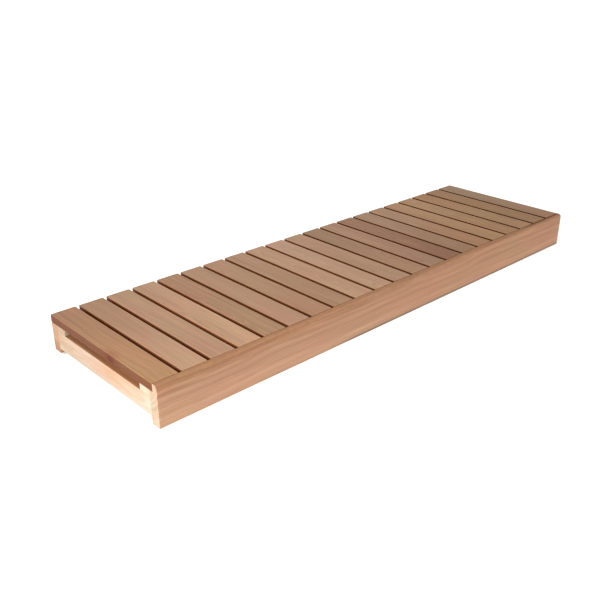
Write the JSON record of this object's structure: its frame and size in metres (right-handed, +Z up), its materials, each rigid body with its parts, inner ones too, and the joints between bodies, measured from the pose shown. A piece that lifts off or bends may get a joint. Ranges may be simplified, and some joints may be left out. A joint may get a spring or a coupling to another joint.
{
  "type": "slatted spa step",
  "caption": "Long low timber step: boards run front to back with open gaps over a hidden frame, and a deep round-nosed board closes the front.",
  "frame": {"origin": "bottom centre of the platform's box; the fascia's underside lies on Z = 0", "axes": "+X along the platform, to the right seen from the front; +Y from the front fascia to the back; +Z up"},
  "size_m": [2.119, 0.61, 0.14],
  "materials": {
    "slat_cedar": "planed, unfinished, edges eased",
    "fascia_cedar": "planed and lightly sanded, unfinished, rounded nose",
    "frame_cedar": "planed, unfinished, with pale sapwood",
    "screw_steel": "stainless, bright",
    "dowel_wood": "smooth hardwood"
  },
  "bodies": {
    "root": {"slat_01": "slat_cedar", "slat_02": "slat_cedar", "slat_03": "slat_cedar", "slat_04": "slat_cedar", "slat_05": "slat_cedar", "slat_06": "slat_cedar", "slat_07": "slat_cedar", "slat_08": "slat_cedar", "slat_09": "slat_cedar", "slat_10": "slat_cedar", "slat_11": "slat_cedar", "slat_12": "slat_cedar", "slat_13": "slat_cedar", "slat_14": "slat_cedar", "slat_15": "slat_cedar", "slat_16": "slat_cedar", "slat_17": "slat_cedar", "slat_18": "slat_cedar", "slat_19": "slat_cedar", "slat_20": "slat_cedar", "slat_21": "slat_cedar", "front_fascia": "fascia_cedar", "rear_rail": "frame_cedar", "front_batten": "frame_cedar", "rear_batten": "frame_cedar", "cross_rail_left": "frame_cedar", "cross_rail_mid_left": "frame_cedar", "cross_rail_centre": "frame_cedar", "cross_rail_mid_right": "frame_cedar", "cross_rail_right": "frame_cedar", "slat_screws_front": "screw_steel", "slat_screws_rear": "screw_steel", "crossing_screws": "screw_steel", "fascia_screws": "screw_steel", "rear_batten_screws": "screw_steel", "rear_rail_screws": "screw_steel", "fascia_dowels": "dowel_wood"}
  },
  "joints": []
}
